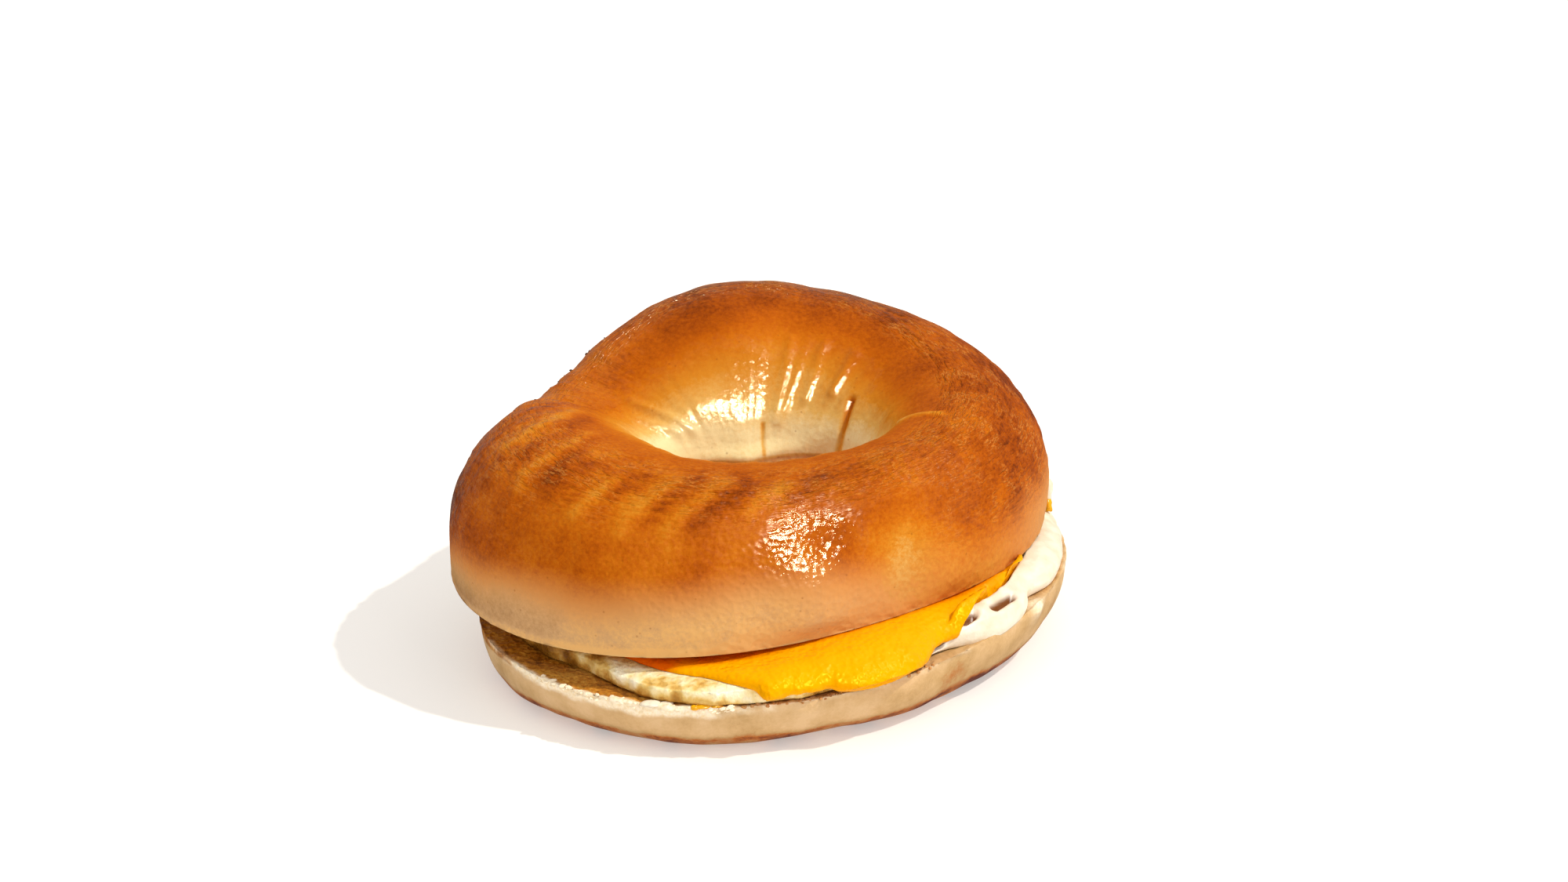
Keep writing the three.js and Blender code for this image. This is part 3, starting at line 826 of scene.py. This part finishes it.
def makeBottom(material):
    look = bottomLook
    bearing, along = grid(look["around"], bent(*look["steps"]))
    points = bottomPoints(bearing, along)
    grit, wander, soft, grain = [layered(points, *look[key]) for key in ("grit", "wander", "soft", "grain")]
    front, sunk, pale = [near(bearing, *look[key]) for key in ("tornAt", "sunkAt", "paleAt")]
    edge = 1.0 + look["tornWide"] * front + look["tornWander"] * wander
    torn = between(along, *look["cutEdge"], edge, edge + look["tornSoft"])
    torn = torn * ramp(front + 0.3 * soft, 0.15, 0.6)
    bits = 0.3 * between(along, *look["bits"]) * ramp(soft, -0.1, 0.5) * (1 - sunk)
    pitted = swell(points, bottomPoints, look["pitted"]) * (1 - ramp(along, 1.5, 1.8))
    sliced = 1 - ramp(along - look["sunkWide"] * sunk, *look["cutEdge"])
    sliced = sliced * (1 - ramp(along, 0.8, 0.9) * pale) + ramp(along, 3.95, 4.0)
    lumps = softNoise(points, 13, 5) + 0.4 * softNoise(points, 5, 6)
    height = look["lumps"] * lumps * between(along, *look["lumpy"])
    height += look["crumbs"] * grit * bump(along, *look["atRim"]) * mix(0.35, 1, front)
    height += (swell(points, bottomPoints, look["swells"]) + 0.5 * pitted) * between(along, *look["swollen"])
    height += look["faceGrain"] * grain * between(along, 0.1, 0.3, 0.97, 1.0)
    moved = points + outward(points) * height[..., None]
    moved[..., 2] = np.maximum(moved[..., 2], 0)
    fields = {
        # the foot's bake is partly painted contact shade at the floor
        "bake": swell(points, bottomPoints, look["brown"]) + look["footBrownAndShade"] * ramp(along, *look["foot"]),
        "torn": np.clip(torn + bits + 0.8 * pitted, 0, 1), "crumb": sliced,
    }
    makePiece("bagelBottom", [moved], material, replaces="bagel_bottom", fields=fields)


spreadLook = {
    "roughness": 0.42, "ior": 1.34, "shades": [(0.35, "ddceb4"), (0.6, "e9ddca")], "gapShade": "7a4208",
    "smear": 3.5, "smearDepth": 0.35,
    "around": 620, "steps": [(120, 1.4), (16, 1), (12, 1)],               # of top, edge, underside
    "waves": 0.45, "highest": 0.15, "edge": 0.5, "bulge": 0.5,
    "overflow": (327, 1.5, 60),                        # it runs down over the rim here
    # gaps in the cream beside the cheese, as lines of (bearing, way across), painted dark brown as the shade
    # in them
    "gaps": [[(334.5, 0.945), (327.5, 0.95)], [(321, 0.95), (318.4, 0.965)], [(316.8, 0.90), (311.5, 0.92)]],
    "gapDepth": 1.9, "gapWidth": 0.9, "thin": (0.25, 0.7),
}


def spreadMaterial():
    # Soft cream cheese from the tub: off-white, smeared smooth, with a faint damp gloss.
    look = spreadLook
    material, tree, shader = startMaterial("softCreamSpread", look["roughness"], look["ior"])
    where = node(tree, "TexCoord", output="Object")
    smear = node(tree, "TexNoise", {"Vector": where, "Scale": perMetre(look["smear"]), "Detail": 4,
                                    "Roughness": 0.55})
    shades = node(tree, "ValToRGB", {"Fac": smear}, stops=look["shades"])
    # painted shade: dark brown is mixed in where the gaps beside the cheese are
    thin = node(tree, "Attribute", attribute_name="thin", output="Fac")
    gapShade = node(tree, "Mix", {"Factor": thin, 6: shades, 7: colour(look["gapShade"])}, 2, data_type="RGBA")
    finishMaterial(tree, shader, gapShade, smear, look["smearDepth"])
    return material


def spreadPoints(bearing, along):
    # its top, from its hole out to its edge
    radius = mix(filling["spreadHole"], spreadRadius(bearing), along)
    return np.stack([*around(bottomHalf["at"], radius, bearing), spreadTop(radius, bearing)], -1)


def makeSpread(material):
    # 0 to 1 runs out over the top, 1 to 2 down the edge, 2 to 3 back in underneath
    look = spreadLook
    bearing, along = grid(look["around"], bent(*look["steps"]))
    hole, rim = filling["spreadHole"], spreadRadius(bearing)
    low, high = spreadFloor(rim, bearing) - swelling(bearing, *look["overflow"]), spreadTop(rim, bearing)
    bulge = np.sin(np.clip(along - 1, 0, 1) * np.pi) * look["bulge"]
    radius = np.select([along < 1, along < 2], [mix(hole, rim, along), rim + bulge],
                       mix(rim, hole, along - 2))
    z = np.select([along < 1, along < 2], [spreadTop(radius, bearing), mix(high, low, along - 1)],
                  spreadFloor(radius, bearing))
    points = np.stack([*around(bottomHalf["at"], radius, bearing), z], -1)
    bead = ramp(z - spreadFloor(radius, bearing), 1.2, 2.2) * (1 - ramp(along, 1.7, 2.0))
    rise = look["waves"] * layered(points, 7, 3, 81) * bead
    points[..., 2] += np.minimum(rise, look["highest"])
    uneven = look["edge"] * layered(points, 5, 3, 83) * bump(along, 1.5, 0.5) * bead
    points[..., 0] += uneven * np.cos(bearing)
    points[..., 1] += uneven * np.sin(bearing)
    gaps = sum(seam(points, spreadPoints, line, look["gapWidth"]) for line in look["gaps"])
    gaps = gaps * (1 - ramp(along, 1, 1.5))
    points[..., 2] -= look["gapDepth"] * gaps
    # the thin field marks the gaps, where the cream is painted dark brown as shade
    fields = {"thin": ramp(gaps, *look["thin"])}
    makePiece("softSpread", [points], material, replaces="spread", fields=fields)


eggLook = {
    "roughness": 0.3, "ior": 1.33, "mottle": 4.6, "fine": 1.3, "fineShare": 0.12, "shadeShare": -0.3,
    "shades": [(0.18, "7c4e10"), (0.33, "b98434"), (0.43, "dcb768"), (0.52, "f0dba4"), (0.64, "f7ebcc")],
    "depth": 1.2, "fineDepth": 0.45,
    "around": 520, "steps": [(24, 1), (60, 1)], "under": 13, "arc": 65,
    "lumps": [(8, 91, 0.8), (3.6, 92, 0.5), (1.8, 93, 0.25)],             # noises: size, seed, height
    "pressed": (0.3, 0.9), "sagFrom": (0.2, 1.3),
    # painted shade: how much browner the egg is made along its foot, at its top under the cheese, and round
    # at the left
    "footShade": 0.7, "topShade": 0.25, "leftShade": 0.8, "leftAt": (212, 17),
}


def eggMaterial():
    # Egg cooked as a thick folded patty: pale set white and yolk beaten together, mottled where the
    # pan browned it, with painted shade in brown along its foot, under the cheese and at the left, and a
    # damp shine.
    look = eggLook
    material, tree, shader = startMaterial("cookedEgg", look["roughness"], look["ior"])
    where = node(tree, "TexCoord", output="Object")
    mottle, fine = [node(tree, "TexNoise", {"Vector": where, "Scale": perMetre(look[key]), "Detail": 3,
                                            "Roughness": 0.5})
                    for key in ("mottle", "fine")]
    uneven = node(tree, "Math", (fine, look["fineShare"], mottle), operation="MULTIPLY_ADD")
    # painted shade: the egg's shade field moves it down the ramp towards brown
    eggShade = node(tree, "Attribute", attribute_name="eggShade", output="Fac")
    uneven = node(tree, "Math", (eggShade, look["shadeShare"], uneven), operation="MULTIPLY_ADD")
    shades = node(tree, "ValToRGB", {"Fac": uneven}, stops=look["shades"])
    height = node(tree, "Math", (fine, look["fineDepth"], mottle), operation="MULTIPLY_ADD")
    finishMaterial(tree, shader, shades, height, look["depth"])
    return material


def eggPath(bearing, distance):
    # a point and its normal at a distance over the egg from its middle: flat out to the start of its
    # edge, then the arc edge * sin(turn)^power out and half * cos(turn) up, fuller below its middle
    edge = filling["eggEdge"]
    flat = eggRadius(bearing) - edge
    floor = eggFloor(flat, bearing)
    half = (eggTop(flat, bearing) - floor) / 2
    turns = np.linspace(0, np.pi, eggLook["arc"])
    outs = np.sin(turns) ** np.where(turns < np.pi / 2, 1, filling["eggFoot"])
    steps = np.hypot(np.diff(outs) * edge, np.diff(np.cos(turns)) * half.mean())
    lengths = np.concatenate([[0], np.cumsum(steps)])
    turn = np.interp(np.maximum(distance - flat, 0), lengths, turns)
    over = distance < flat
    sine, power = np.maximum(np.sin(turn), 1e-3), np.where(turn < np.pi / 2, 1, filling["eggFoot"])
    radius = np.where(over, distance, flat + edge * sine ** power)
    z = np.where(over, eggTop(np.minimum(distance, flat), bearing), floor + half + half * np.cos(turn))
    out = np.where(over, 0, half * sine)
    up = np.where(over, 1, edge * power * sine ** (power - 1) * np.cos(turn))
    size = np.hypot(out, up)
    return radius, z, out / size, up / size, lengths[-1]


def eggLumps(radius, z, bearing, up):
    # the egg's side is lumpy where it faces out, and smooth where it is pressed between the halves
    points = np.stack([*around(bottomHalf["at"], radius, bearing), z], -1)
    lumps = sum(height * softNoise(points, size, seed) for size, seed, height in eggLook["lumps"])
    return lumps * (1 - ramp(np.abs(up), *eggLook["pressed"]))


def makeEgg(material):
    # 0 to 1 runs out over the top, 1 to 2 round the edge to underneath, 2 to 3 back in to the middle
    look = eggLook
    columns = np.concatenate([bent(*look["steps"]), np.linspace(2, 3, look["under"])])
    bearing, along = grid(look["around"], columns)
    edgeLength = eggPath(bearing, bearing * 0)[4]
    flat = eggRadius(bearing) - filling["eggEdge"]
    distance = np.where(along < 1, flat * along, flat + edgeLength * np.clip(along - 1, 0, 1))
    radius, z, out, up, _ = eggPath(bearing, distance)
    lumps = eggLumps(radius, z, bearing, up)
    back = flat * (3 - along)
    radius = np.where(along < 2, radius + lumps * out, back)
    z = np.where(along < 2, z + lumps * up, eggFloor(back, bearing))
    low = np.where(along < 2, ramp(-up, 0, 0.6), 1)
    start, end = look["sagFrom"]
    past = radius - spreadRadius(bearing)
    z -= filling["eggSag"] * low * ramp(past, start, end)      # it sinks where no cream is under it
    x, y = around(bottomHalf["at"], radius, bearing)
    # painted shade: browner along its foot, under the cheese and round at the left, where shade falls on it
    eggShade = look["footShade"] * np.where(along < 2, ramp(-up, 0.0, 0.9), 1)
    eggShade += look["topShade"] * np.where(along < 1, 1, ramp(up, 0.6, 1.0))
    eggShade = np.clip(eggShade + look["leftShade"] * near(bearing, *look["leftAt"]), 0, 1)
    makePiece("cookedEgg", [np.stack([x, y, z], -1)], material, replaces="egg", isDisc=True,
              fields={"eggShade": eggShade})


cheeseLook = {
    "roughness": 0.3, "ior": 1.22, "tint": "ffbe30", "cloud": 5, "bubble": 1.0, "bubbleRound": 0.6,
    # the deepest oranges at the top of this ramp are reached in the line of painted shade under the top
    # half's edge
    "shades": [(0.2, "eea300"), (0.5, "e49000"), (0.85, "e07a00"), (1.0, "d65800")],
    "cloudShare": 0.4, "depth": 0.7, "bubbleDepth": 0.3,
    "around": 560, "outside": (96, 2.0), "inside": 52, "lipRound": 1.6,
    "seat": 0.1, "seatTo": (298, 322),                 # gap to what it melted on to, and where that ends
    "thin": (250, 0.65, 14), "hanging": (292, 1.8, 30), "hangingFrom": 4, "wander": 0.35, "eggShare": 0.8,
    # (bearing, how far over the egg the slice reaches, how far its lip lifts off it), millimetres
    "lip": [(180, 38, 0), (236, 46.5, 0), (246, 48, 0), (254, 48.6, 0), (260, 49.8, 0), (265, 51, 0),
            (269, 52.3, 0.3), (273, 50.4, 0.2), (277, 49.4, 0.3), (281, 48.6, 0.8), (286, 48.0, 2.2),
            (292, 46.8, 2.8), (299, 45, 3.0), (304, 44.0, 2.0), (308, 42.8, 0.8), (312, 42.4, 0.5),
            (320, 41.6, 0.9), (327, 41.7, 1.2), (331, 41.2, 1.0), (338, 40.9, 1.1), (344, 41.3, 1.8),
            (347, 41.2, 2.1), (349.5, 41.0, 2.0), (351, 39.8, 1.0), (353, 37, 0), (420, 37, 0)],
    "raised": (347, 2.8, 60),                          # the corner of the slice at the right stands up
    "folds": [(320, 0.5, 60), (332, -0.4, 90), (345, 0.4, 120), (300, 0.5, 30)],
    # where the line of painted shade fades, in millimetres out from the top half's edge, how strong it is,
    # and the lip's own deeper orange
    "line": (-0.5, 1.1), "lineShade": 0.75, "lipDeep": 0.12,     # millimetres out from the top half's edge
}


def cheeseMaterial():
    # A melted processed slice: even bright yellow, smooth and greasy, with small bubbles.
    look = cheeseLook
    material, tree, shader = startMaterial("meltedCheese", look["roughness"], look["ior"], look["tint"])
    where = node(tree, "TexCoord", output="Object")
    # painted shade: this field deepens the orange in a line where the slice comes out from under the top
    # half, and a little at its lip
    shadeAndLip = node(tree, "Attribute", attribute_name="shadeAndLip", output="Fac")
    cloud = node(tree, "TexNoise", {"Vector": where, "Scale": perMetre(look["cloud"]), "Detail": 3})
    bubbles = node(tree, "TexVoronoi", {"Vector": where, "Scale": perMetre(look["bubble"]),
                                        "Smoothness": look["bubbleRound"]}, feature="SMOOTH_F1")
    shade = node(tree, "Math", (cloud, look["cloudShare"], shadeAndLip), operation="MULTIPLY_ADD")
    shades = node(tree, "ValToRGB", {"Fac": shade}, stops=look["shades"])
    height = node(tree, "Math", (bubbles, look["bubbleDepth"], cloud), operation="MULTIPLY_ADD")
    finishMaterial(tree, shader, shades, height, look["depth"])
    return material


def makeCheese(material):
    # 0 to 1 runs over the outside from the middle to the lip, 1 to 2 back along the inside; the two
    # meet at the lip in a half circle
    look = cheeseLook
    inside = 1 + np.linspace(0, 1, look["inside"] + 1) ** 2
    bearing, along = grid(look["around"], np.concatenate([bent(look["outside"]), inside]))
    flat = eggRadius(bearing) - filling["eggEdge"]
    ring = np.stack([*around((0, 0), 45.0, bearing), bearing * 0], -1)
    at, reaches, lifts = np.array(look["lip"]).T
    reach, lift = [np.interp(np.degrees(bearing), at % 360, values, period=360)
                   for values in (reaches, lifts)]
    reach = reach + look["wander"] * layered(ring, 3, 2, 95)
    distance = reach * np.where(along <= 1, along, 2 - along)
    radius, z, out, up, _ = eggPath(bearing, distance)
    folds = swellings(look["folds"], bearing) * (1 - ramp(up, *eggLook["pressed"]))
    lumps = eggLumps(radius, z, bearing, up) * look["eggShare"] + folds
    atLip = 1 - np.clip((reach - distance) / look["lipRound"], 0, 1)
    thick = filling["cheese"] * (1 - swelling(bearing, *look["thin"]))
    half = thick / 2 * np.sqrt(1 - atLip ** 2)
    through = np.where(along <= 1, 2 * half, 0)
    seated = atLip * (1 - ramp(np.degrees(bearing), *look["seatTo"]))     # melted on to the egg at the left
    off = mix(filling["gap"] + thick / 2 - half, look["seat"], seated) + through
    radius, z = radius + out * (off + lumps), z + up * (off + lumps)
    radius += lift * ramp(distance, flat + 1, reach)
    raised = z + swelling(bearing, *look["raised"]) * ramp(distance, flat - 1, flat + 2.5)
    z = np.maximum(z, np.minimum(raised, roofHeight(radius, bearing)))
    z -= swelling(bearing, *look["hanging"]) * ramp(distance, reach - look["hangingFrom"], reach)
    past = ramp(radius - spreadRadius(bearing), 0, 1.2)
    below = mix(spreadTop(radius, bearing), faceHeight(radius, bearing), past)
    z = np.maximum(z, below + look["seat"] + through)
    x, y = around(bottomHalf["at"], radius, bearing)
    # painted shade: deeper orange in a line where it comes out from under the top half; and a little deeper
    # orange at its lip
    dx, dy = x - topHalf["at"][0], y - topHalf["at"][1]
    out = np.hypot(dx, dy) - cutEdge(np.arctan2(dy, dx))[2]
    shadeAndLip = look["lineShade"] * (1 - ramp(out, *look["line"])) + look["lipDeep"] * atLip
    makePiece("meltedCheese", [np.stack([x, y, z], -1)], material, replaces="cheese", isDisc=True,
              fields={"shadeAndLip": shadeAndLip})


lumpLook = {"around": 20, "across": 13, "uneven": 0.4, "noise": 0.9}


def lump(middle, sizes, turn, seed):
    # a closed blob: a ball drawn out to three half sizes, turned about the upright axis by an angle,
    # with noise in its radius
    look = lumpLook
    bearing, along = grid(look["around"], np.linspace(0, 1, look["across"]))
    fall = along * np.pi
    ball = np.stack([np.sin(fall) * np.cos(bearing), np.sin(fall) * np.sin(bearing), np.cos(fall)], -1)
    ball *= (1 + look["uneven"] * layered(ball, look["noise"], 2, seed))[..., None]
    x, y, z = np.moveaxis(ball * sizes, -1, 0)
    turned = np.stack([x * np.cos(turn) - y * np.sin(turn), x * np.sin(turn) + y * np.cos(turn), z], -1)
    return middle + turned


def plainMaterial(name, text, roughness):
    # One even colour, for things too small to show more: crumbs and drips.
    material, _, shader = startMaterial(name, roughness, 1.35)
    shader.inputs["Base Color"].default_value = colour(text)
    return material


# bits left by cutting and spreading: material, slot and seed, then how many, the bearings they lie
# between, the way across them, the half sizes of one, and the surface they lie on
bitsLook = {
    "tornCrumbs": (("whiteCrumb", "f3e2c4", 0.7), "crumb", 101,
                   70, (222, 262), (0.985, 1.06), (0.6, 0.4, 0.24), bottomPoints),
    "brownCrumbs": (("toastedCrumb", "b98040", 0.7), "crumb", 202,
                    60, (258, 306), (0.97, 1.02), (0.45, 0.3, 0.22), bottomPoints),
    "burntFlakes": (("burntFlour", "4a2410", 0.6), "crust", 303,
                    26, (128, 176), (1.20, 1.36), (0.4, 0.3, 0.22), topPoints),
}


def makeBits(name):
    # each bit: a random place between the bearings and ways, a random size and a random turn
    material, slot, seed, count, bearings, ways, sizes, surface = bitsLook[name]
    chance = np.random.default_rng(seed)
    shells = []
    for number in range(count):
        middle = spot(surface, chance.uniform(*bearings), chance.uniform(*ways))
        size = np.array(sizes) * chance.uniform(0.5, 1.3)
        shells.append(lump(middle, size, chance.uniform(0, 6.3), seed + number))
    makePiece(name, shells, plainMaterial(*material), isDisc=True)


# cream left on the front rim, as steps from a place on it, and a piece squeezed out past it at the
# right; then cheese that ran on to the rim, as places, and a drop on that piece of cream. Each with
# its half sizes, and its turn and seed
smears = {
    "rim": (248, 0.99), "onRim": [((-1.4, 0.2, 0.0), (1.9, 1.0, 0.55), 0.25, 7),
                                  ((0.9, 0.1, -0.1), (1.3, 0.7, 0.5), 0.1, 8)],
    "right": ((51.4, 17.0, 20.4), (2.5, 3.6, 4.0), 0.3, 9),
}
drips = {
    "onRim": [((256.0, 0.99), (1.6, 0.8, 0.4), 0.2, 11), ((258.5, 0.985), (1.2, 0.7, 0.4), 0.2, 12),
              ((254.6, 1.01), (0.7, 0.6, 0.4), 0.2, 13)],
    "above": (0, 0, 0.15), "right": ((53.2, 14.0, 19.0), (0.8, 0.8, 1.4), 0, 15),
}


def makeSmears(material):
    rim = spot(bottomPoints, *smears["rim"])
    shells = [lump(rim + step, *rest) for step, *rest in smears["onRim"]]
    place, *rest = smears["right"]
    makePiece("smearedCream", shells + [lump(np.array(place), *rest)], material, isDisc=True)


def makeDrips(material):
    shells = [lump(spot(bottomPoints, *place) + drips["above"], *rest) for place, *rest in drips["onRim"]]
    place, *rest = drips["right"]
    makePiece("cheeseDrips", shells + [lump(np.array(place), *rest)], material, isDisc=True)


makeCamera()
makeStudio()
makeTop(crustMaterial())
makeBottom(breadMaterial())
cream = spreadMaterial()
makeSpread(cream)
makeEgg(eggMaterial())
makeCheese(cheeseMaterial())
for name in bitsLook:
    makeBits(name)
makeSmears(cream)
makeDrips(plainMaterial("softCheese", "e8a400", 0.3))
print("all pieces made")
